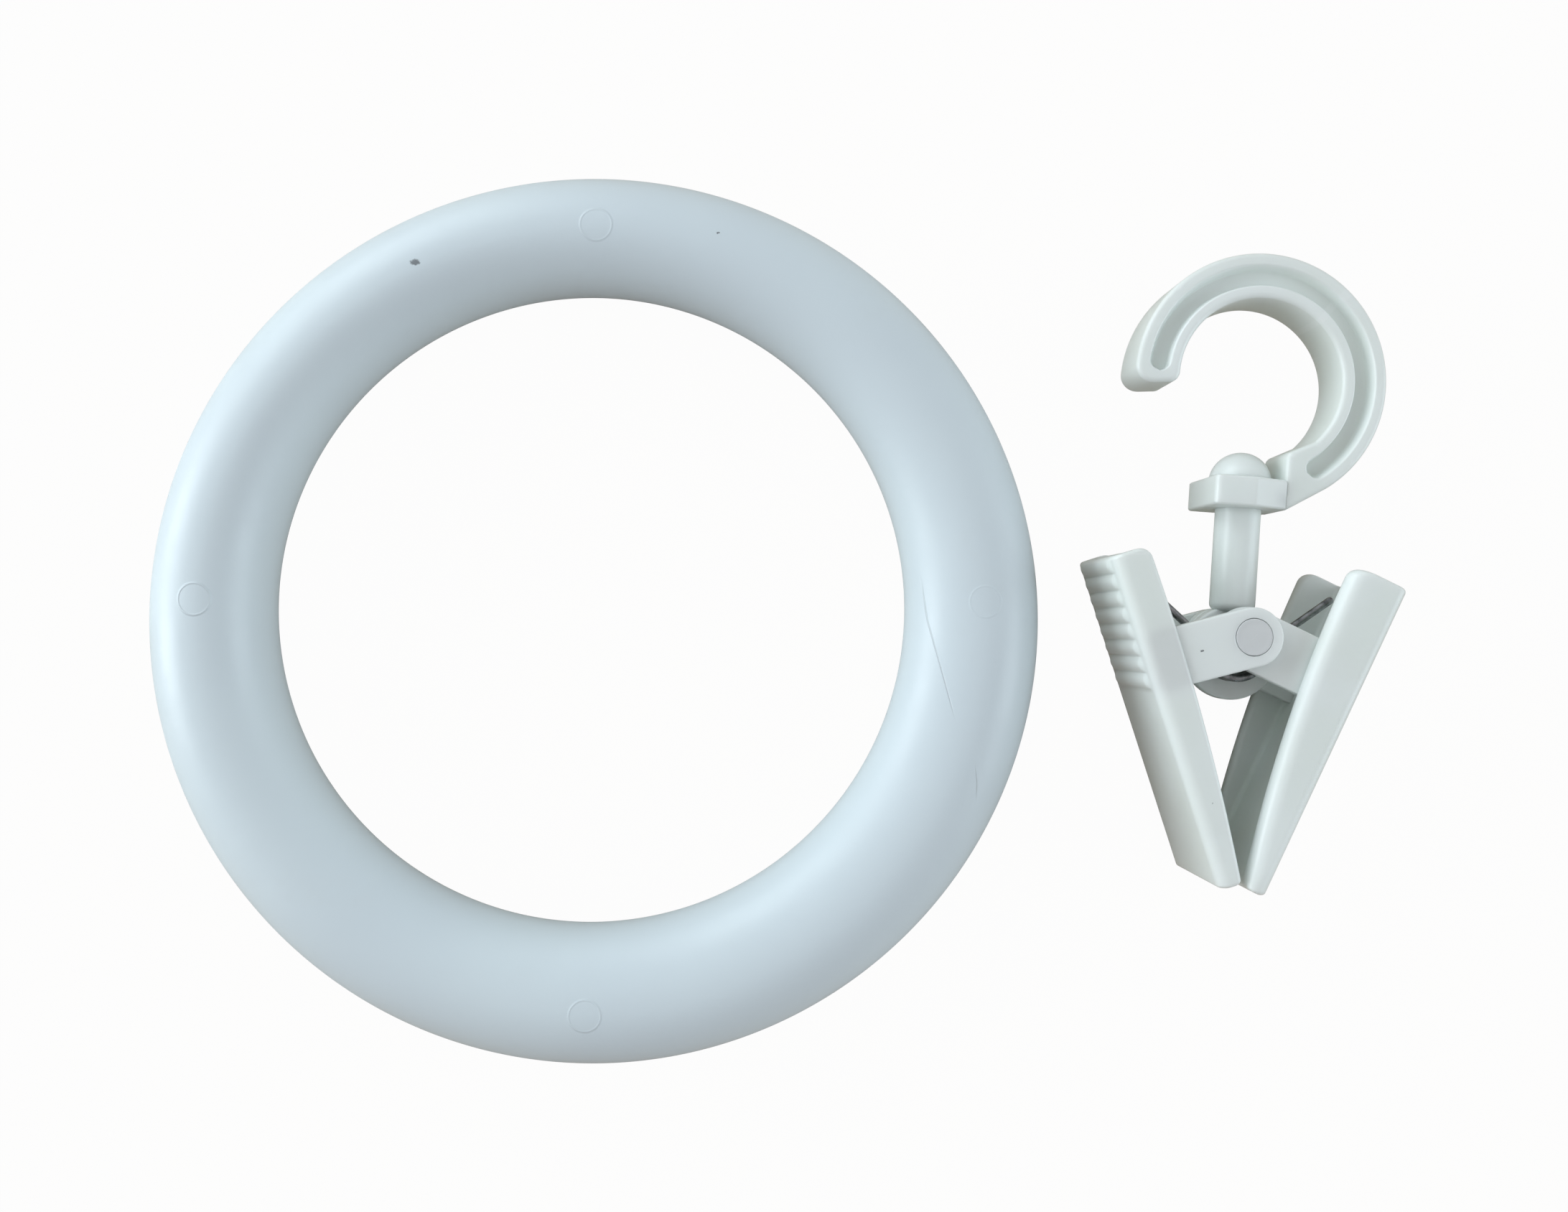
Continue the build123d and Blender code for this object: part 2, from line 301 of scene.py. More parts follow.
class Piece:
    """A visible piece: grids of points welded into one closed smooth mesh."""

    def __init__(self, name: str) -> None:
        """Starts an empty piece.

        Args:
            name: the object's name.
        """
        self.name = name
        self.points: list[np.ndarray] = []
        self.faces: list[np.ndarray] = []
        self.own: list[np.ndarray] = []
        self.count = 0

    def grid(self, points: np.ndarray, own: np.ndarray | None = None) -> None:
        """Adds a grid: each cell of neighbouring rows and columns becomes a four-sided face.

        Args:
            points: (rows, columns, 3) points in metres.
            own: (rows, columns, 3) coordinates that follow the surface, for its material, or None.
        """
        rows, columns = points.shape[:2]
        index = self.count + np.arange(rows * columns).reshape(rows, columns)
        quads = np.stack([index[:-1, :-1], index[:-1, 1:], index[1:, 1:], index[1:, :-1]], -1)
        self.points.append(points.reshape(-1, 3))
        self.faces.append(quads.reshape(-1, 4))
        if own is not None:
            self.own.append(own.reshape(-1, 3))
        self.count += rows * columns

    def build(self, material: bpy.types.Material) -> bpy.types.Object:
        """Makes the mesh, welds its seams and poles, turns its faces outwards and shades it smooth.

        Args:
            material: the finish of the whole piece.

        Returns:
            The new object.
        """
        mesh = bpy.data.meshes.new(self.name)
        mesh.from_pydata(np.concatenate(self.points).tolist(), [], np.concatenate(self.faces).tolist())
        if self.own:
            carried = mesh.attributes.new("own", "FLOAT_VECTOR", "POINT")
            carried.data.foreach_set("vector", np.concatenate(self.own).astype(np.float32).ravel())
        work = bmesh.new()
        work.from_mesh(mesh)
        bmesh.ops.remove_doubles(work, verts=work.verts, dist=5e-7)
        bmesh.ops.dissolve_degenerate(work, edges=work.edges, dist=1e-7)
        bmesh.ops.recalc_face_normals(work, faces=work.faces)
        work.to_mesh(mesh)
        work.free()
        mesh.shade_smooth()
        mesh.materials.append(material)
        thing = bpy.data.objects.new(self.name, mesh)
        bpy.context.scene.collection.objects.link(thing)
        return thing


def report(thing: bpy.types.Object) -> bpy.types.Object:
    """Logs a piece's size and face count.

    Args:
        thing: the finished piece.

    Returns:
        The same piece.
    """
    thing.data.calc_loop_triangles()
    size = ", ".join(f"{v * 1000:.2f}" for v in thing.dimensions)
    LOG.info("%s: %s mm, %d triangles", thing.name, size, len(thing.data.loop_triangles))
    return thing


# Finishes


class Sheen(Enum):
    """How glossy a moulded surface is: its roughness and the spread of that roughness."""

    SATIN = (0.40, 0.07)
    SEMI_GLOSS = (0.335, 0.04)


class Graph:
    """A material's node graph, with short calls for the nodes used here."""

    def __init__(self, name: str) -> None:
        """Starts an empty material.

        Args:
            name: the material's name.
        """
        self.material = bpy.data.materials.new(name)
        self.material.use_nodes = True
        self.tree = self.material.node_tree
        self.tree.nodes.clear()
        self.coordinates = self.add("ShaderNodeTexCoord").outputs["Object"]

    def add(self, kind: str, inputs: dict | None = None, **settings: object) -> bpy.types.Node:
        """Adds a node.

        Args:
            kind: the node's type name.
            inputs: values or sockets for its inputs, by name or number.
            settings: attributes of the node.

        Returns:
            The node.
        """
        node = self.tree.nodes.new(kind)
        for key, value in settings.items():
            setattr(node, key, value)
        for key, value in (inputs or {}).items():
            if isinstance(value, bpy.types.NodeSocket):
                self.tree.links.new(value, node.inputs[key])
            else:
                node.inputs[key].default_value = value
        return node

    def math(self, operation: str, *values: object, clamp: bool = False) -> bpy.types.NodeSocket:
        """A Math node's result of the given operation on values or sockets."""
        node = self.add("ShaderNodeMath", dict(enumerate(values)), operation=operation, use_clamp=clamp)
        return node.outputs[0]

    def noise(
        self, scale: float, detail: float = 3.0, rough: float = 0.55, warp: float = 0.0
    ) -> bpy.types.NodeSocket:
        """Cloudy noise on Object coordinates, in patches of about 1 / scale metres."""
        values = {
            "Vector": self.coordinates, "Scale": scale, "Detail": detail, "Roughness": rough, "Distortion": warp,
        }
        return self.add("ShaderNodeTexNoise", values).outputs["Fac"]

    def between(
        self, value: object, low: float, high: float, to_low: float = 0.0, to_high: float = 1.0
    ) -> bpy.types.NodeSocket:
        """A value mapped from low..high to another range, with a smooth start and end."""
        values = {0: value, 1: low, 2: high, 3: to_low, 4: to_high}
        return self.add("ShaderNodeMapRange", values, interpolation_type="SMOOTHSTEP").outputs[0]

    def mix(self, share: object, first: object, second: object) -> bpy.types.NodeSocket:
        """A colour between two colours."""
        node = self.add("ShaderNodeMix", {0: share, 6: first, 7: second}, data_type="RGBA")
        return node.outputs[2]

    def attribute(self, name: str) -> bpy.types.NodeSocket:
        """A number that the piece's mesh carries on its points."""
        return self.add("ShaderNodeAttribute", attribute_name=name, attribute_type="GEOMETRY").outputs["Fac"]

    def near(self, spot: tuple[float, float], stretch: float = 1.0) -> bpy.types.NodeSocket:
        """Distance in metres, seen from above, from a spot given in millimetres; stretch shortens it along y."""
        split = self.add("ShaderNodeSeparateXYZ", {0: self.coordinates})
        dx = self.math("SUBTRACT", split.outputs[0], spot[0] * MM)
        dy = self.math("MULTIPLY", self.math("SUBTRACT", split.outputs[1], spot[1] * MM), stretch)
        return self.math("SQRT", self.math("ADD", self.math("MULTIPLY", dx, dx), self.math("MULTIPLY", dy, dy)))

    def finish(self, surface: bpy.types.Node) -> bpy.types.Material:
        """Ends the graph in its surface shader and returns the material."""
        out = self.add("ShaderNodeOutputMaterial")
        self.tree.links.new(surface.outputs[0], out.inputs["Surface"])
        return self.material


@dataclass(frozen=True)
class MouldedPlastic:
    """White moulded plastic: cloudy colour, fine orange-peel bump, uneven gloss and slightly worn edges."""

    name: str
    colour: tuple[float, float, float]
    cloud: tuple[float, float, float]
    sheen: Sheen
    peel: float = 0.008
    wear: float = 0.25
    translucence: float = 0.12
    depth: float = 1.2
    patch: float = 45.0
    specks: tuple[tuple[float, float, float], ...] = ()
    marks: tuple[tuple[float, float, float], ...] = ()
    hairlines: tuple[str, ...] = ()

    def speck_mask(self, graph: Graph) -> object:
        """The dark specks, as 1 inside each one; each is (x, y, radius) in millimetres."""
        mask = 0.0
        ragged = graph.math("MULTIPLY", graph.math("SUBTRACT", graph.noise(5200, 2), 0.5), 0.5 * MM)
        for x, y, radius in self.specks:
            spot = graph.math("ADD", graph.near((x, y), 1.5), ragged)
            mask = graph.math("MAXIMUM", mask, graph.between(spot, radius * MM, radius * 0.5 * MM))
        return mask

    def mark_height(self, graph: Graph) -> object:
        """The round pin marks' rims, as a height; each is (x, y, strength) with a rim 1.22 mm from its middle."""
        height = 0.0
        for x, y, strength in self.marks:
            away = graph.near((x, y))
            rim = graph.between(graph.math("ABSOLUTE", graph.math("SUBTRACT", away, 1.22 * MM)), 0.13 * MM, 0.0)
            inside = graph.between(away, 1.28 * MM, 1.16 * MM, 0.0, 0.55)
            height = graph.math("ADD", height, graph.math("MULTIPLY", graph.math("ADD", rim, inside), strength))
        return height

    def hairline_mask(self, graph: Graph) -> object:
        """The fine flow lines, as 1 on each line: the mesh carries the distance from it and how far it has faded."""
        mask = 0.0
        for line in self.hairlines:
            away = graph.math("ABSOLUTE", graph.attribute(f"{line}_away"))
            thin = graph.math("MULTIPLY", graph.between(away, 0.075, 0.01), graph.attribute(f"{line}_strength"))
            mask = graph.math("MAXIMUM", mask, thin)
        return mask

    def material(self) -> bpy.types.Material:
        """Builds the finish.

        Returns:
            The material.
        """
        graph = Graph(self.name)
        clouds = graph.between(graph.noise(self.patch, 3, 0.5, 0.4), 0.32, 0.68)
        colour = graph.mix(clouds, (*self.colour, 1), (*self.cloud, 1))
        edge = graph.between(graph.add("ShaderNodeNewGeometry").outputs["Pointiness"], 0.51, 0.60)
        rubbed = graph.math("MULTIPLY", edge, graph.between(graph.noise(300, 2), 0.3, 0.7, 0.6, 1.0))
        colour = graph.mix(graph.math("MULTIPLY", rubbed, self.wear), colour, (0.88, 0.92, 0.92, 1))
        dirt = graph.between(graph.noise(160, 5, 0.65), 0.55, 0.85, 0.0, 0.08)
        colour = graph.mix(dirt, colour, (0.55, 0.55, 0.53, 1))
        base, spread = self.sheen.value
        gloss = graph.between(graph.noise(120, 4, 0.6), 0.3, 0.7, base - spread, base + spread)
        height = graph.math("MULTIPLY", graph.noise(1500, 3, 0.5), self.peel)
        height = graph.math("ADD", height, graph.math("MULTIPLY", graph.noise(260, 2, 0.5), self.peel * 1.6))
        if self.marks:
            height = graph.math("ADD", height, graph.math("MULTIPLY", self.mark_height(graph), 0.045))
        if self.hairlines:
            lines = self.hairline_mask(graph)
            height = graph.math("SUBTRACT", height, graph.math("MULTIPLY", lines, 0.03))
            colour = graph.mix(graph.math("MULTIPLY", lines, 0.22), colour, (0.42, 0.42, 0.42, 1))
        if self.specks:
            specks = self.speck_mask(graph)
            colour = graph.mix(graph.math("MULTIPLY", specks, 0.8), colour, (0.10, 0.11, 0.12, 1))
        bump = graph.add("ShaderNodeBump", {"Height": height, "Distance": MM, "Strength": 1.0})
        shader = graph.add(
            "ShaderNodeBsdfPrincipled",
            {
                "Base Color": colour,
                "Roughness": gloss,
                "Normal": bump.outputs[0],
                "IOR": 1.49,
                "Subsurface Weight": self.translucence,
                "Subsurface Radius": (1.0, 1.0, 0.95),
                "Subsurface Scale": self.depth * MM,
            },
        )
        return graph.finish(shader)


@dataclass(frozen=True)
class DrawnWire:
    """Grey spring steel: fine lines along the wire and a darker oiled tone in patches."""

    name: str = "spring_steel"
    colour: tuple[float, float, float] = (0.30, 0.31, 0.32)
    dark: tuple[float, float, float] = (0.10, 0.105, 0.11)

    def material(self) -> bpy.types.Material:
        """Builds the finish.

        Returns:
            The material.
        """
        graph = Graph(self.name)
        own = graph.add("ShaderNodeAttribute", attribute_name="own", attribute_type="GEOMETRY").outputs["Vector"]
        stretched = graph.add("ShaderNodeMapping", {"Vector": own, "Scale": (6000.0, 6000.0, 250.0)}).outputs[0]
        lines = graph.add("ShaderNodeTexNoise", {"Vector": stretched, "Scale": 1.0, "Detail": 3.0}).outputs["Fac"]
        oil = graph.between(graph.noise(900, 4, 0.6), 0.38, 0.66)
        colour = graph.mix(oil, (*self.colour, 1), (*self.dark, 1))
        colour = graph.mix(graph.between(lines, 0.4, 0.7, 0.0, 0.35), colour, (0.5, 0.5, 0.5, 1))
        gloss = graph.between(graph.noise(2400, 3), 0.3, 0.7, 0.25, 0.42)
        height = graph.math("MULTIPLY", lines, 0.012)
        bump = graph.add("ShaderNodeBump", {"Height": height, "Distance": MM, "Strength": 1.0})
        shader = graph.add(
            "ShaderNodeBsdfPrincipled",
            {"Base Color": colour, "Roughness": gloss, "Normal": bump.outputs[0], "Metallic": 1.0},
        )
        return graph.finish(shader)


# The pieces


@dataclass
class CurtainRing:
    """The ring: a round moulded tube whose hole sits a little off its outline."""

    outer_r: float = 35.0
    hole_r: float = 25.0
    height: float = 10.0
    shift: tuple[float, float] = (-0.65, 0.85)
    around: int = 420
    across: int = 108
    hairlines: tuple[tuple[str, tuple[tuple[float, float], ...]], ...] = (
        ("flow_long", ((25.28, 3.2), (25.72, -0.1), (26.5, -3.2), (27.6, -7.6))),
        ("flow_short", ((29.15, -11.4), (29.35, -12.8), (29.3, -13.7))),
    )

    def points(self) -> np.ndarray:
        """The tube: round each section r = crown + reach cos t and z = h/2 + h/2 sin t, where the reach is half the
        height outwards, and inwards the distance from the crown to a circle about the shifted middle."""
        phi = np.linspace(0, 2 * np.pi, self.around + 1)[:, None]
        t = np.linspace(0, 2 * np.pi, self.across + 1)[None]
        along_ray = self.shift[0] * np.cos(phi) + self.shift[1] * np.sin(phi)
        wall = along_ray + np.sqrt(along_ray ** 2 - math.hypot(*self.shift) ** 2 + self.hole_r ** 2)
        crown = self.outer_r - self.height / 2
        reach = np.where(np.cos(t) > 0, self.height / 2, crown - wall)
        radius = crown + reach * np.cos(t)
        z = np.broadcast_to(self.height / 2 * (1 + np.sin(t)), radius.shape)
        return np.stack([radius * np.cos(phi), radius * np.sin(phi), z], -1) * MM

    def carry_hairlines(self, ring: bpy.types.Object) -> None:
        """Puts each flow line's signed distance in millimetres and its fading ends on the mesh.

        The sign is that of the cross product with the line's chord, so that the distance is straight through 0.

        Args:
            ring: the ring's object.
        """
        co = np.zeros(len(ring.data.vertices) * 3)
        ring.data.vertices.foreach_get("co", co)
        co = co.reshape(-1, 3) / MM
        for name, corners in self.hairlines:
            line = np.array(corners)
            chord = line[-1] - line[0]
            lengthened = np.concatenate([[line[0] - chord], line, [line[-1] + chord]])
            share = ((co[:, :2] - line[0]) @ chord) / (chord @ chord)
            corner_share = ((lengthened - line[0]) @ chord) / (chord @ chord)
            bow = np.stack([np.interp(share, corner_share, lengthened[:, k]) for k in (0, 1)], -1)
            side = (chord[0] * (co[:, 1] - bow[:, 1]) - chord[1] * (co[:, 0] - bow[:, 0])) / np.hypot(*chord)
            fade = smooth((share + 0.05) / 0.2) * smooth((1.05 - share) / 0.2) * (co[:, 2] > self.height / 2)
            for label, values in ((f"{name}_away", side), (f"{name}_strength", fade)):
                attribute = ring.data.attributes.new(label, "FLOAT", "POINT")
                attribute.data.foreach_set("value", values.astype(np.float32))

    def build(self, material: bpy.types.Material) -> bpy.types.Object:
        """Builds the ring in place of its solid.

        Args:
            material: its finish.

        Returns:
            The ring.
        """
        piece = Piece("ring_tube")
        piece.grid(self.points())
        ring = piece.build(material)
        self.carry_hairlines(ring)
        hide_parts("curtain_ring")
        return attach(ring, "ring_and_hook")


@dataclass
class Hook:
    """The hook: a grooved C-shaped limb on an arm, and the collar in which the stem turns."""

    clip: ClipFrame
    centre: tuple[float, float] = (0.4, 20.45)
    inner_r: float = 6.5
    limb: float = 3.55
    thickness: float = 5.0
    tip_angle: float = 185.7
    foot_angle: float = -55.4
    inner_foot_angle: float = -45.0
    tip_outer_round: float = 1.5
    tip_inner_round: float = 0.8
    rim: float = 0.4
    groove_rim: float = 0.9
    groove_depth: float = 0.9
    groove_inset: float = 0.9
    wall_x: float = 2.8
    wall_top: float = 14.75
    foot_x: float = 2.98
    root_x: float = 1.9
    collar_bottom: float = 10.25
    collar_height: float = 2.35
    collar_left: float = 3.05
    collar_depth: float = 3.5
    collar_front_right: float = 0.15
    collar_round: float = 0.45
    collar_edge: float = 0.22
    bore_r: float = 1.835

    def borders(self) -> tuple[np.ndarray, np.ndarray]:
        """The limb's two borders, point for point from the tip to the collar.

        On the arc they are circles at the inner and outer radius, which near the tip bend towards each other along
        the corner rounds; past it they run down the arm's wall and its slanted foot.

        Returns:
            (n, 2) inner and (n, 2) outer border points.
        """
        middle_r = self.inner_r + self.limb / 2
        sweep = math.radians(self.tip_angle - self.inner_foot_angle)
        travel = eased(sweep * middle_r, 0.16, 0.05, self.rim, 0.0)
        travel = np.unique(np.concatenate([travel, np.arange(self.rim, 1.8, 0.07)]).round(6))
        back = travel / middle_r
        outer_r = self.inner_r + self.limb
        inner = self.inner_r + round_drop(back * self.inner_r, self.tip_inner_round)
        outer = outer_r - round_drop(back * outer_r, self.tip_outer_round)
        angle = self.tip_angle - np.degrees(back)
        centre = np.array(self.centre)
        inner_arc, outer_arc = centre + polar(inner, angle), centre + polar(outer, angle)
        corner = rounded_polygon(
            [(*inner_arc[-1], 0.02), (self.wall_x, self.wall_top, 0.7), (self.wall_x, self.collar_bottom, 0.02),
             (6.0, self.collar_bottom, 0.02)], 0.02
        )
        start = int(np.argmin(np.linalg.norm(corner - inner_arc[-1], axis=1)))
        wall = np.concatenate([corner[start:], corner[:start]])
        end = int(np.argmin(np.linalg.norm(wall - np.array([self.wall_x, self.collar_bottom + 1.2]), axis=1)))
        wall = np.concatenate([wall[1:end], [[self.root_x, self.collar_bottom + 1.6]]])
        heel = centre + polar(outer_r, np.linspace(self.inner_foot_angle, self.foot_angle, 24)[1:])
        foot = np.concatenate([heel, [[self.foot_x, self.collar_bottom]], [[self.root_x, self.collar_bottom + 0.3]]])
        shares = np.linspace(0, 1, 80)[1:]
        sampled = []
        for line, first in ((wall, inner_arc[-1]), (foot, outer_arc[-1])):
            line = np.concatenate([[first], line])
            way = travelled(line)
            sampled.append(np.stack([np.interp(shares * way[-1], way, line[:, k]) for k in (0, 1)], -1))
        return np.concatenate([inner_arc, sampled[0]]), np.concatenate([outer_arc, sampled[1]])

    def limb_grid(self) -> np.ndarray:
        """The limb: rows from border to border, closed over both faces.

        Height = half the thickness - the rim's drop at the distance from the outline - the groove's depth, which
        rises as an S-curve over its walls, steep on the inner side and soft on the outer.

        Returns:
            (rows, columns, 3) points.
        """
        inner, outer = self.borders()
        stations = eased(self.limb, 0.065, 0.05, self.rim, self.rim) / self.limb
        flat = inner[:, None] + (outer - inner)[:, None] * stations[None, :, None]
        outline = np.concatenate([inner[::-1], outer])
        drop = round_drop(from_line(flat, outline), self.rim)
        drop[:, 0] = drop[:, -1] = self.rim
        drop[0] = self.rim
        middle_r = self.inner_r + self.limb / 2
        half = self.limb / 2 - self.groove_rim
        end_angle = self.tip_angle - math.degrees((half + self.groove_inset) / middle_r)
        spine = np.array(self.centre) + polar(middle_r, np.linspace(self.foot_angle + 1.0, end_angle, 160))
        away = from_line(flat, spine)
        outside = np.linalg.norm(flat - np.array(self.centre), axis=-1) > middle_r
        wall = np.where(outside, 0.42, 0.17)
        groove = self.groove_depth * smooth((half - away) / wall)
        top = self.thickness / 2 - drop - groove
        over = np.dstack([flat, top])
        under = np.dstack([flat, -top])[:, ::-1]
        return np.concatenate([over, under, over[:, :1]], 1)

    def tip_cap(self, grid: np.ndarray) -> np.ndarray:
        """The small flat wall that closes the tip: the first row's upper half paired with its lower half."""
        half = (grid.shape[1] - 1) // 2
        return np.stack([grid[0, :half], grid[0, half:2 * half][::-1]])

    def collar_grid(self) -> np.ndarray:
        """The collar: a bored plate across the stem, its outline in x and z, its height along the stem."""
        left, depth, front, foot = -self.collar_left, self.collar_depth, self.collar_front_right, self.foot_x
        half = self.thickness / 2
        outline = rounded_polygon(
            [(left, -depth, self.collar_round), (front, -depth, 0.5), (foot, -half, 0.3), (foot, half, 0.3),
             (front, depth, 0.5), (left, depth, self.collar_round)], 0.12
        )
        hole = same_turn(outline, self.bore_r)
        grid = plate(outline, self.collar_bottom, self.collar_bottom + self.collar_height, self.collar_edge, hole)
        return grid[..., [0, 2, 1]]

    def build(self, material: bpy.types.Material) -> bpy.types.Object:
        """Builds the hook in place of its solid.

        Args:
            material: its finish.

        Returns:
            The hook.
        """
        piece = Piece("hook_limb")
        grid = self.limb_grid()
        piece.grid(self.clip.place(grid))
        piece.grid(self.clip.place(self.tip_cap(grid)))
        last = grid[::-1]
        piece.grid(self.clip.place(self.tip_cap(last)))
        piece.grid(self.clip.place(self.collar_grid()))
        hook = piece.build(material)
        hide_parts("hook")
        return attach(hook, "ring_and_hook")


@dataclass
class Stem:
    """The stem: a domed head, a round shaft and a flat round foot on the pivot pin."""

    clip: ClipFrame
    shaft_r: float = 1.775
    shaft_end: float = 2.05
    shoulder: float = 0.6
    head_base: float = 12.66
    dome_r: float = 2.42
    dome_height: float = 2.2
    foot_r: float = 3.74
    foot_drop: float = 1.3
    foot_thickness: float = 1.3
    foot_edge: float = 0.25
    bore_r: float = 1.06

    def shaft_grid(self) -> np.ndarray:
        """The shaft and its domed head, turned round the stem: rounded shoulder, wall, underside and a sphere's cap."""
        turn = np.linspace(0, np.pi / 2, 9)
        r, s = self.shaft_r, self.shoulder
        lower = np.stack([r - s * (1 - np.sin(turn)), self.shaft_end + s * (1 - np.cos(turn))], -1)
        heights = np.linspace(self.shaft_end + s, self.head_base, 40)[1:]
        wall = np.stack([np.full(len(heights), r), heights], -1)
        lip = self.dome_r - 0.12 * (1 - np.sin(turn))
        rim = np.stack([lip, self.head_base + 0.12 * (1 - np.cos(turn))], -1)
        sphere = (self.dome_r ** 2 + self.dome_height ** 2) / (2 * self.dome_height)
        centre = self.head_base + self.dome_height - sphere
        first = math.asin((rim[-1, 1] - centre) / sphere)
        rise = np.linspace(first, np.pi / 2, 28)
        dome = np.stack([sphere * np.cos(rise), centre + sphere * np.sin(rise)], -1)
        profile = np.concatenate([[[0, self.shaft_end]], lower, wall, rim, dome])
        grid = lathe(profile, 96)
        return np.stack([grid[..., 0], grid[..., 2], -grid[..., 1]], -1)

    def foot_grid(self) -> np.ndarray:
        """The foot: a bored round plate with softened edges."""
        outline = circle((0, -self.foot_drop), self.foot_r, 144)
        hole = circle((0, 0), self.bore_r, 144)
        return plate(outline, -self.foot_thickness / 2, self.foot_thickness / 2, self.foot_edge, hole)

    def build(self, material: bpy.types.Material) -> bpy.types.Object:
        """Builds the stem in place of its solid.

        Args:
            material: its finish.

        Returns:
            The stem.
        """
        piece = Piece("stem_and_foot")
        piece.grid(self.clip.place(self.shaft_grid()))
        piece.grid(self.clip.place(self.foot_grid()))
        stem = piece.build(material)
        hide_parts("swivel_stem")
        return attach(stem, "stem")


class Side(Enum):
    """Which jaw, as the sign of its inward direction across the clip."""

    LEFT = 1
    RIGHT = -1


@dataclass
class Jaw:
    """A jaw: a ribbed channel with a pair of arms to the pivot and a low seat for the spring's leg."""

    clip: ClipFrame
    side: Side
    tip: tuple[float, float]
    length: float
    web: float
    flange: float
    depths: tuple[float, float, float]
    free_round: float
    inner_round: float
    arm_low: float
    arm_thickness: float
    arm_half: float
    arm_angle: float
    bore_r: tuple[float, float]
    seat_height: float
    seat_at: tuple[float, float]
    lean: float = 21.8
    half_width: float = 5.6
    ridge: float = 0.9
    floor_round: float = 0.4
    top_round: float = 1.0
    tip_round: float = 0.4
    ribs: int = 8
    pitch: float = 1.34
    proud: float = 0.27
    rib_inset: float = 0.95
    rib_fade: float = 0.9
    arm_edge: float = 0.16
    seat_half: tuple[float, float] = (1.6, 0.65)

    def place(self, points: np.ndarray) -> np.ndarray:
        """Points given as (depth from the web's face, way up the web, z) in the row frame, in metres.

        Args:
            points: (..., 3) points in millimetres.

        Returns:
            The same array, leant with the jaw and placed with the clip.
        """
        c, s = math.cos(math.radians(self.lean)), math.sin(math.radians(self.lean))
        sign = self.side.value
        depth, way, z = points[..., 0], points[..., 1], points[..., 2]
        x = self.tip[0] + sign * (depth * c - way * s)
        y = self.tip[1] + depth * s + way * c
        return self.clip.place(np.stack([x, y, z], -1))

    def depth(self, way: np.ndarray) -> np.ndarray:
        """The flanges' depth along the web: a circle through its three stated depths, rounded off at both ends.

        Args:
            way: stations up the web from the tip.

        Returns:
            The depth at each station.
        """
        top, middle, tip = self.depths
        p1, p2, p3 = np.array([top, self.length]), np.array([middle, self.length / 2]), np.array([tip, 0.0])
        system = 2 * np.array([p2 - p1, p3 - p1])
        centre = np.linalg.solve(system, np.array([p2 @ p2 - p1 @ p1, p3 @ p3 - p1 @ p1]))
        radius = np.linalg.norm(p1 - centre)
        bow = np.sign(middle - centre[0])
        arc = centre[0] + bow * np.sqrt(np.maximum(radius ** 2 - (way - centre[1]) ** 2, 0))
        return arc - round_drop(self.length - way, self.top_round) - round_drop(way, self.tip_round)

    def section(self, depth: np.ndarray) -> tuple[np.ndarray, np.ndarray]:
        """The channel's section at each station: the outer path from one free edge to the other, and the inner one.

        Each path is a quarter circle at the free edge, a straight flank, a quarter circle at the web and the web
        itself, mirrored. Near the tip, where the flanges are low, the rounds shrink with what is left of them.

        Args:
            depth: the flanges' depth at each station.

        Returns:
            Depth from the web's face and z, each (2, stations, n): the outer path and the inner one, point for point.
        """
        h, t = self.half_width, self.flange
        quarter = np.linspace(0, np.pi / 2, 9)
        web_z = np.linspace(1, -1, 61)[1:-1]
        run = np.linspace(0, 1, 14)[1:-1]
        far = depth[:, None]
        w = np.minimum(self.web, far - 0.3)
        free_outer = np.minimum(self.free_round, far - self.ridge - 0.1)
        free_inner = np.minimum(self.inner_round, (far - w) * 0.45)
        floor = np.minimum(self.floor_round, (far - w) * 0.45)
        middle = h - (free_outer + t - free_inner) / 2
        paths = []
        for corner, outward, free, sign, base in (
            (np.full_like(far, self.ridge), h, free_outer, 1, 0 * w), (floor, h - t, free_inner, -1, w)
        ):
            deep = np.concatenate([
                far,
                far - free * (1 - np.cos(quarter)),
                (far - free) * (1 - run) + (base + corner) * run,
                base + corner * (1 - np.sin(quarter)),
            ], 1)
            wide = np.concatenate([
                middle,
                outward - sign * free * (1 - np.sin(quarter)),
                np.full((len(far), len(run)), outward),
                outward - corner * (1 - np.cos(quarter)),
            ], 1)
            web = np.repeat(base, len(web_z), 1)
            paths.append((
                np.concatenate([deep, web, deep[:, ::-1]], 1),
                np.concatenate([wide, wide[:, -1:] * web_z, -wide[:, ::-1]], 1),
            ))
        return np.stack([path[0] for path in paths]), np.stack([path[1] for path in paths])

    def rib(self, way: np.ndarray, z: np.ndarray) -> np.ndarray:
        """How proud the grip ribs stand: a round crest per pitch, fading out towards the web's sides."""
        below = (self.length - way) / self.pitch
        share = np.where((below > 0) & (below < self.ribs), below % 1.0, 0.0)
        crest = np.sqrt(np.clip(1 - (2 * share - 1) ** 2, 0, 1))
        crest = 0.25 * crest + 0.75 * (1 - (2 * share - 1) ** 2).clip(0, 1)
        reach = smooth((self.half_width - self.rib_inset + 0.12 - np.abs(z)) / self.rib_fade)
        return self.proud * crest * reach * (share > 0)

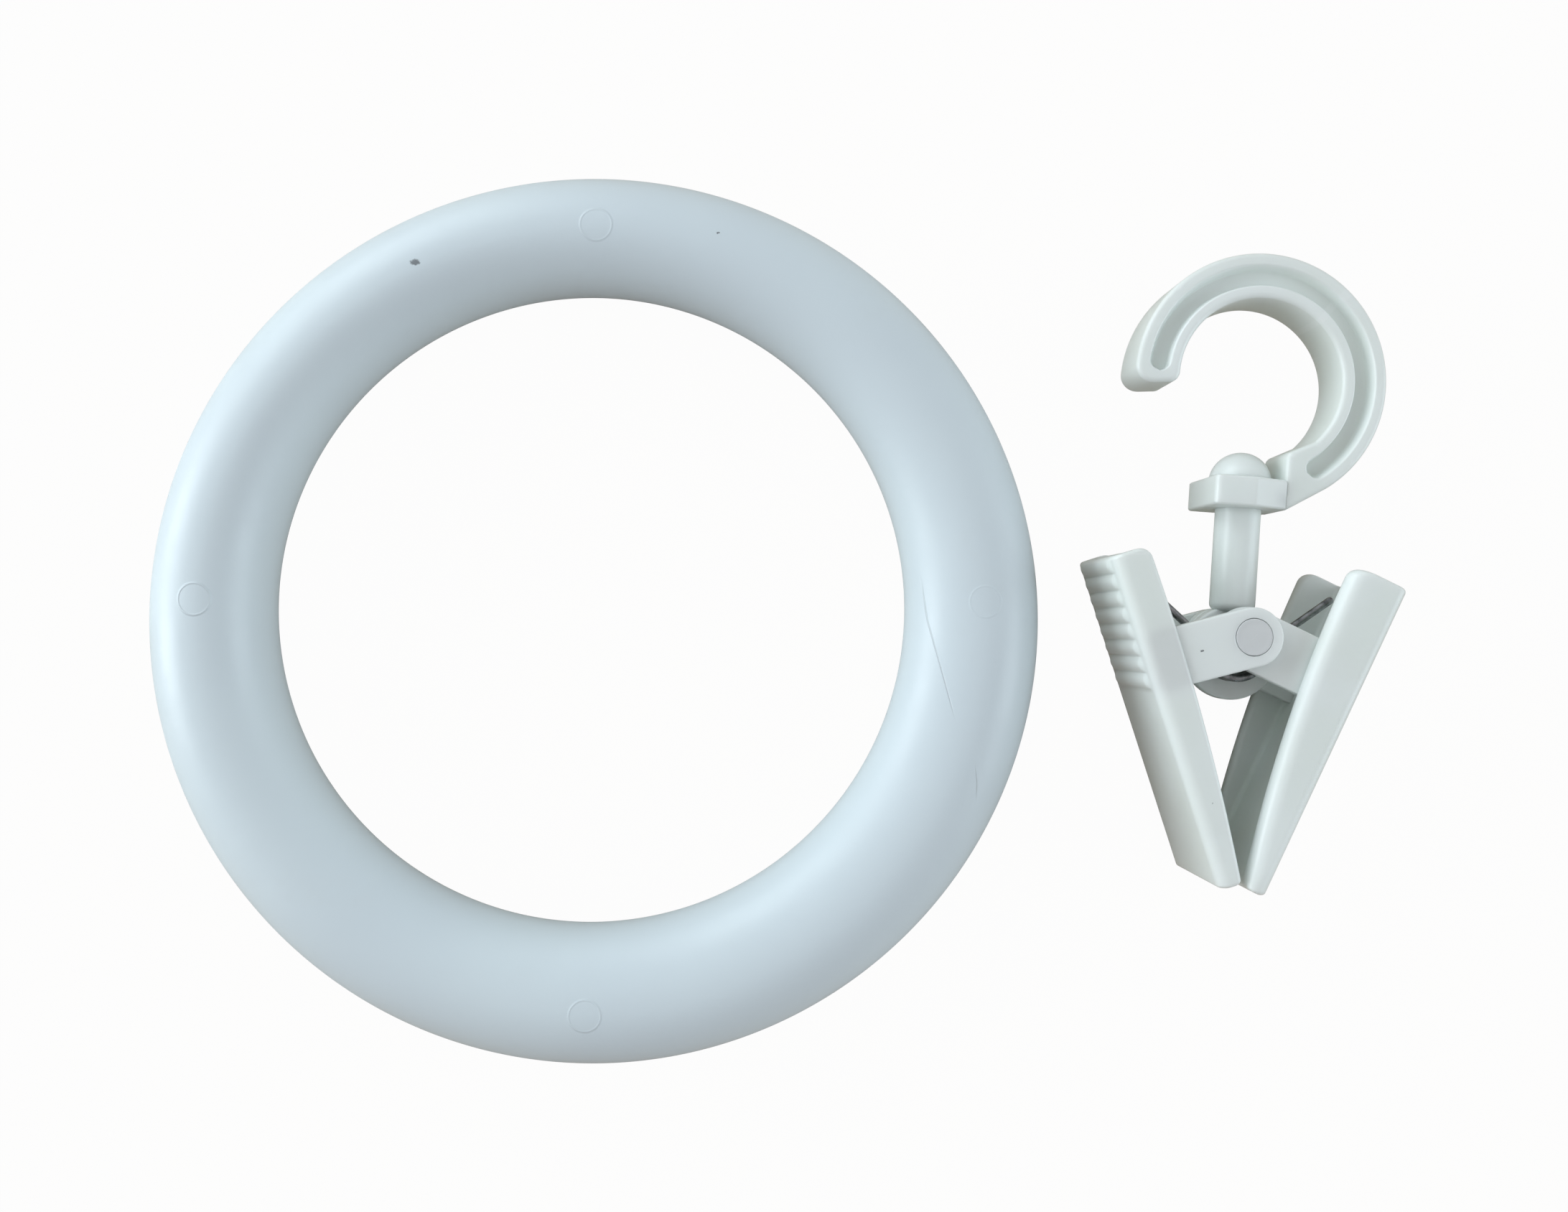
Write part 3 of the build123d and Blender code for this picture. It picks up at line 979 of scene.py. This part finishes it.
    def channel_grid(self) -> tuple[np.ndarray, np.ndarray, np.ndarray]:
        """The channel: its section carried up the web, pushed in along its own normals where the ends are rounded.

        Returns:
            The closed grid and the two end strips.
        """
        rib_foot = self.length - self.ribs * self.pitch
        way = np.concatenate([
            eased(rib_foot, 0.35, 0.06, self.tip_round, 0.0),
            np.arange(rib_foot, self.length - self.tip_round, 0.075),
            self.length - eased(self.tip_round, 0.06, 0.06, self.tip_round, 0.0),
            self.length - eased(self.top_round, 0.08, 0.05, self.top_round, 0.0),
        ])
        way = np.unique(way.round(5))
        way = way[np.concatenate([[True], np.diff(way) > 4e-3])]
        deep, wide = (np.concatenate([p[0], p[1][:, ::-1]], 1) for p in self.section(self.depth(way)))
        step_d, step_z = (np.roll(a, -1, 1) - np.roll(a, 1, 1) for a in (deep, wide))
        size = np.maximum(np.hypot(step_d, step_z), 1e-9)
        n = deep.shape[1] // 2
        place = np.arange(deep.shape[1])
        edge = np.where(place < n, 0.12 + 0.18 * np.clip(np.minimum(place, n - 1 - place) / 9, 0, 1), 0.12)
        inset = round_drop(way[:, None], edge) + round_drop(self.length - way[:, None], edge)
        outward = self.turn(deep[len(way) // 2], wide[len(way) // 2])
        deep, wide = deep - outward * (step_z / size) * inset, wide + outward * (step_d / size) * inset
        drop = round_drop(way, self.tip_round) * 0.8
        deep = deep + drop[:, None] * smooth(1 - deep / self.ridge) * (place < n)
        outer_web = (place < n) & (deep < self.ridge)
        proud = self.rib(way[:, None], wide) * outer_web
        grid = np.dstack([deep - proud, np.broadcast_to(way[:, None], deep.shape), wide])
        grid = np.concatenate([grid, grid[:, :1]], 1)
        ends = [np.stack([row[:n], row[n:2 * n][::-1]]) for row in (grid[0], grid[-1])]
        return grid, ends[0], ends[1]

    @staticmethod
    def turn(a: np.ndarray, z: np.ndarray) -> float:
        """The sign that makes the section's normals point out of it, from the area its loop encloses."""
        return float(np.sign(np.sum(a * np.roll(z, -1) - np.roll(a, -1) * z)))

    def arm_grids(self) -> list[np.ndarray]:
        """The two arms in the clip's frame: bored plates with softened edges, one at each side of the mid-plane."""
        c, s = math.cos(math.radians(self.lean)), math.sin(math.radians(self.lean))
        sign = self.side.value
        reach = -sign * self.tip[0] * c - self.tip[1] * s - self.web / 2
        outline = stadium(self.arm_half, reach, self.arm_angle, 0.14)
        grids = []
        for low, bore in ((self.arm_low, self.bore_r[0]), (-self.arm_low - self.arm_thickness, self.bore_r[1])):
            grids.append(plate(outline, low, low + self.arm_thickness, self.arm_edge, same_turn(outline, bore)))
        return grids

    def seat_grid(self) -> np.ndarray:
        """The low seat on the channel's floor, as a plate whose height is its depth from the web."""
        (way, z), (long, wide) = self.seat_at, self.seat_half
        outline = rounded_polygon(
            [(way - long, z - wide, 0.15), (way + long, z - wide, 0.15), (way + long, z + wide, 0.15),
             (way - long, z + wide, 0.15)], 0.2
        )
        return plate(outline, self.web / 2, self.web / 2 + self.seat_height, 0.1)[..., [2, 0, 1]]

    def build(self, name: str, node: str, body: str, material: bpy.types.Material) -> bpy.types.Object:
        """Builds the jaw in place of its solid.

        Args:
            name: the new object's name.
            node: the solid that it stands for.
            body: the body that it moves with.
            material: its finish.

        Returns:
            The jaw.
        """
        piece = Piece(name)
        for grid in self.channel_grid():
            piece.grid(self.place(grid))
        for grid in self.arm_grids():
            piece.grid(self.clip.place(grid))
        piece.grid(self.place(self.seat_grid()))
        jaw = piece.build(material)
        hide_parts(node)
        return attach(jaw, body)


@dataclass
class PivotPin:
    """The pin: a shank with a flat head let into the near arm."""

    clip: ClipFrame
    shank_r: float = 1.0
    head_r: float = 1.425
    head_low: float = 4.2
    end: float = 5.3
    edge: float = 0.07

    def grid(self) -> np.ndarray:
        """The pin turned round its own axis: far end, shank, the head's underside, wall and a barely dished face."""
        turn = np.linspace(0, np.pi / 2, 6)
        r, e = self.shank_r, self.edge
        far = np.stack([r - e * (1 - np.sin(turn)), -self.end + e * (1 - np.cos(turn))], -1)
        head = np.stack([self.head_r - e * (1 - np.cos(turn)), self.end - e * (1 - np.sin(turn))], -1)
        dish_r = np.linspace(self.head_r - e, 0, 12)[1:]
        dish = np.stack([dish_r, self.end - 0.03 * smooth((self.head_r - e - dish_r) / 0.35)], -1)
        profile = np.concatenate(
            [[[0, -self.end]], far, [[r, self.head_low], [self.head_r, self.head_low]], head, dish]
        )
        return lathe(profile, 96)

    def build(self, material: bpy.types.Material) -> bpy.types.Object:
        """Builds the pin in place of its solid.

        Args:
            material: its finish.

        Returns:
            The pin.
        """
        piece = Piece("pin_and_head")
        piece.grid(self.clip.place(self.grid()))
        pin = piece.build(material)
        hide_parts("pivot_pin")
        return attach(pin, "jaw_left")


@dataclass
class Spring:
    """The torsion spring: a coil that hangs on the pin and two legs with one bend each."""

    clip: ClipFrame
    wire_r: float = 0.3
    coil_r: float = 2.3
    drop: float = 0.95
    offset: float = -0.2
    start_angle: float = -38.6
    whole_turns: int = 2
    low: float = 1.1
    travel: float = 1.45
    first_run: float = 3.85
    bend: float = 13.5
    bend_run: float = 0.5
    last_run: float = 4.86
    bend_half_span: float = 3.2

    def path(self) -> np.ndarray:
        """The wire's middle line: left leg, coil from the near side down, right leg.

        The coil is a helix: angle and height fall together. A leg leaves along the coil's tangent, keeps its slope,
        and turns once through a short parabola between two straight runs.

        Returns:
            (n, 3) points in the clip's frame.
        """
        turn = 2 * (90 + self.start_angle) + 360 * self.whole_turns
        rise = self.travel / (math.radians(turn) * self.coil_r)
        share = np.linspace(0, 1, 220)
        spot = polar(self.coil_r, self.start_angle - turn * share)
        coil = np.column_stack([spot, self.low + self.travel * share])
        heading, bent = self.start_angle + 90, self.start_angle + 90 - self.bend
        leaves = polar(self.coil_r, self.start_angle)
        corner = leaves + polar(self.first_run, heading)
        before, after = corner - polar(self.bend_run, heading), corner + polar(self.bend_run, bent)
        s = np.linspace(0, 1, 13)[:, None]
        arc = (1 - s) ** 2 * before + 2 * s * (1 - s) * corner + s ** 2 * after
        tip = corner + polar(self.last_run, bent)
        flat = evenly(np.concatenate([[leaves], arc, [tip]]), 0.15)
        run = travelled(flat)
        right = np.column_stack([flat, self.low - rise * run])
        left = np.column_stack([-flat[:, 0], flat[:, 1], self.low + self.travel + rise * run])
        line = np.concatenate([left[::-1], coil[::-1][1:-1], right])
        return line + np.array([self.offset, -self.drop, 0.0])

    def build(self, material: bpy.types.Material) -> bpy.types.Object:
        """Builds the spring as a tube round its path, with half-round ends.

        A ring of the tube is path + r (cos v side + sin v up), where side is square to the path and level.

        Args:
            material: its finish.

        Returns:
            The spring.
        """
        line = self.path()
        tangent = np.gradient(line, axis=0)
        tangent /= np.linalg.norm(tangent, axis=1)[:, None]
        turn = np.linspace(0, np.pi / 2, 7)
        lead = self.wire_r * (1 - np.cos(turn))[:-1]
        ends = self.wire_r * np.sin(turn)[:-1]
        first = line[0] - tangent[0] * (self.wire_r - lead)[:, None] + tangent[0] * self.wire_r
        last = line[-1] + tangent[-1] * (self.wire_r - lead[::-1])[:, None] - tangent[-1] * self.wire_r
        body = line[2:-2]
        middle = np.concatenate([first, body, last])
        direction = np.concatenate([np.repeat(tangent[:1], 6, 0), tangent[2:-2], np.repeat(tangent[-1:], 6, 0)])
        radius = np.concatenate([ends, np.full(len(body), self.wire_r), ends[::-1]])
        side = np.cross(direction, [0, 0, 1.0])
        side /= np.linalg.norm(side, axis=1)[:, None]
        up = np.cross(side, direction)
        v = np.linspace(0, 2 * np.pi, 21)
        ring = np.cos(v)[None, :, None] * side[:, None] + np.sin(v)[None, :, None] * up[:, None]
        reached = travelled(middle)
        own = np.stack(np.broadcast_arrays(self.wire_r * np.cos(v), self.wire_r * np.sin(v), reached[:, None]), -1)
        piece = Piece("spring_wire")
        piece.grid(self.clip.place(middle[:, None] + radius[:, None, None] * ring), own * MM)
        spring = piece.build(material)
        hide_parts("torsion_spring")
        start = self.clip.place(np.array([-self.bend_half_span, 0.0, 0.0]))
        end = self.clip.place(np.array([self.bend_half_span, 0.0, 0.0]))
        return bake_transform(spring, "jaw_left", "jaw_right", start=tuple(start), end=tuple(end))


# Floor, light and camera


@dataclass(frozen=True)
class Studio:
    """A plain pale floor, soft lamps and the camera at the photograph's angle."""

    camera_at: tuple[float, float, float] = (11.053, -0.853, 114.191)
    pitch: float = 0.99
    roll_y: float = -1.89
    focal_px: float = 1900.0
    frame_px: float = 2184.0
    sensor: float = 36.0
    lamps_aim: tuple[float, float, float] = (0.012, 0.0, 0.0)
    floor_reach: float = 3.0
    room_light: float = 0.46

    def camera(self) -> None:
        """Sets the camera: turned about Y after X, its lens the focal length in pixels times sensor over frame."""
        data = bpy.data.cameras.new("camera")
        data.sensor_width = self.sensor
        data.sensor_fit = "HORIZONTAL"
        data.lens = self.focal_px * self.sensor / self.frame_px
        data.clip_start, data.clip_end = 0.002, 20.0
        thing = bpy.data.objects.new("camera", data)
        turn = Matrix.Rotation(math.radians(self.roll_y), 4, "Y") @ Matrix.Rotation(math.radians(self.pitch), 4, "X")
        thing.matrix_world = Matrix.Translation([v * MM for v in self.camera_at]) @ turn
        bpy.context.scene.collection.objects.link(thing)
        bpy.context.scene.camera = thing

    def floor(self) -> None:
        """Lays the floor: white to the camera with a faint shadow, and a plain pale surface to the object."""
        mesh = bpy.data.meshes.new("floor")
        span = self.floor_reach
        corners = [(-span, -span, 0), (span, -span, 0), (span, span, 0), (-span, span, 0)]
        mesh.from_pydata(corners, [], [(0, 1, 2, 3)])
        floor = bpy.data.objects.new("floor", mesh)
        bpy.context.scene.collection.objects.link(floor)
        graph = Graph("floor")
        paper = graph.add("ShaderNodeBsdfDiffuse", {"Color": (0.50, 0.43, 0.34, 1)})
        glow = graph.add("ShaderNodeEmission", {"Color": (1, 1, 1, 1), "Strength": 1.0})
        seen = graph.add("ShaderNodeLightPath").outputs["Is Camera Ray"]
        share = graph.math("MULTIPLY", seen, 0.97)
        mixed = graph.add("ShaderNodeMixShader", {0: share, 1: paper.outputs[0], 2: glow.outputs[0]})
        mesh.materials.append(graph.finish(mixed))

    def lamp(
        self, name: str, place: tuple[float, float, float], size: float, power: float,
        colour: tuple[float, float, float] = (1.0, 1.0, 1.0),
    ) -> None:
        """Adds a square soft lamp that faces the object.

        Args:
            name: the lamp's name.
            place: where it hangs, in metres.
            size: its side, in metres.
            power: its power, in watts.
            colour: its colour.
        """
        data = bpy.data.lights.new(name, "AREA")
        data.shape, data.size, data.energy, data.color = "SQUARE", size, power, colour
        thing = bpy.data.objects.new(name, data)
        aim = Vector(place) - Vector(self.lamps_aim)
        thing.matrix_world = Matrix.Translation(place) @ aim.to_track_quat("Z", "Y").to_matrix().to_4x4()
        bpy.context.scene.collection.objects.link(thing)

    def build(self) -> None:
        """Sets up camera, floor, lamps, world and the plain view transform."""
        self.camera()
        self.floor()
        self.lamp("window", (-0.55, 0.05, 0.14), 0.34, 2.3, (0.87, 0.95, 1.0))
        self.lamp("second_window", (-0.33, 0.46, 0.22), 0.40, 1.6, (0.84, 0.95, 1.0))
        self.lamp("fill", (0.55, -0.04, 0.20), 0.40, 1.45, (0.80, 0.93, 1.0))
        world = bpy.data.worlds.new("room")
        world.use_nodes = True
        nodes, links = world.node_tree.nodes, world.node_tree.links
        nodes.clear()
        seen = nodes.new("ShaderNodeLightPath").outputs["Is Camera Ray"]
        dim, white = nodes.new("ShaderNodeBackground"), nodes.new("ShaderNodeBackground")
        dim.inputs[0].default_value, dim.inputs[1].default_value = (1.0, 0.96, 0.98, 1), self.room_light
        white.inputs[0].default_value, white.inputs[1].default_value = (1, 1, 1, 1), 1.0
        mixed, out = nodes.new("ShaderNodeMixShader"), nodes.new("ShaderNodeOutputWorld")
        links.new(seen, mixed.inputs[0])
        links.new(dim.outputs[0], mixed.inputs[1])
        links.new(white.outputs[0], mixed.inputs[2])
        links.new(mixed.outputs[0], out.inputs[0])
        bpy.context.scene.world = world
        bpy.context.scene.view_settings.view_transform = "Standard"


RING_WHITE = MouldedPlastic(
    name="ring_white",
    colour=(0.67, 0.765, 0.80),
    cloud=(0.645, 0.735, 0.775),
    sheen=Sheen.SATIN,
    wear=0.0,
    specks=((-13.6, 27.1, 0.45), (-11.5, 22.2, 0.16), (9.4, 29.6, 0.16)),
    marks=((-30.06, 1.46, 1.0), (0.1, 30.15, 0.6), (-0.62, -30.14, 0.7), (30.0, 1.29, 0.3)),
    hairlines=("flow_long", "flow_short"),
)
CLIP_WHITE = MouldedPlastic(
    name="clip_white",
    colour=(0.78, 0.84, 0.82),
    cloud=(0.75, 0.81, 0.775),
    sheen=Sheen.SEMI_GLOSS,
    peel=0.004,
    translucence=0.35,
    depth=2.0,
    patch=110.0,
    specks=((46.45, -2.5, 0.14), (47.1, -14.1, 0.10)),
)
PIN_WHITE = MouldedPlastic(
    name="pin_white",
    colour=(0.66, 0.69, 0.69),
    cloud=(0.63, 0.66, 0.66),
    sheen=Sheen.SEMI_GLOSS,
    peel=0.006,
    patch=260.0,
)


def main() -> None:
    """Builds every piece in order."""
    logging.basicConfig(level=logging.INFO, format="%(message)s")
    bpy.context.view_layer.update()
    clip = ClipFrame()
    Studio().build()
    clip_white = CLIP_WHITE.material()
    report(CurtainRing().build(RING_WHITE.material()))
    report(Hook(clip).build(clip_white))
    report(Stem(clip).build(clip_white))
    left = Jaw(
        clip, Side.LEFT, tip=(-1.45, -19.5), length=26.8, web=1.3, flange=1.2, depths=(2.95, 2.85, 1.75),
        free_round=0.35, inner_round=0.2, arm_low=4.2, arm_thickness=1.1, arm_half=2.3, arm_angle=198.2,
        bore_r=(1.48, 1.0), seat_height=0.6, seat_at=(20.0, 2.8),
    )
    right = Jaw(
        clip, Side.RIGHT, tip=(2.09, -19.84), length=26.1, web=1.4, flange=1.6, depths=(4.6, 3.85, 1.6),
        free_round=1.0, inner_round=0.4, arm_low=3.0, arm_thickness=1.1, arm_half=2.35, arm_angle=-21.5,
        bore_r=(1.06, 1.06), seat_height=0.6, seat_at=(20.0, 1.0),
    )
    report(left.build("left_jaw_channel", "left_jaw", "jaw_left", clip_white))
    report(right.build("right_jaw_channel", "right_jaw", "jaw_right", clip_white))
    report(PivotPin(clip).build(PIN_WHITE.material()))
    report(Spring(clip).build(DrawnWire().material()))


if __name__ == "__main__":
    main()
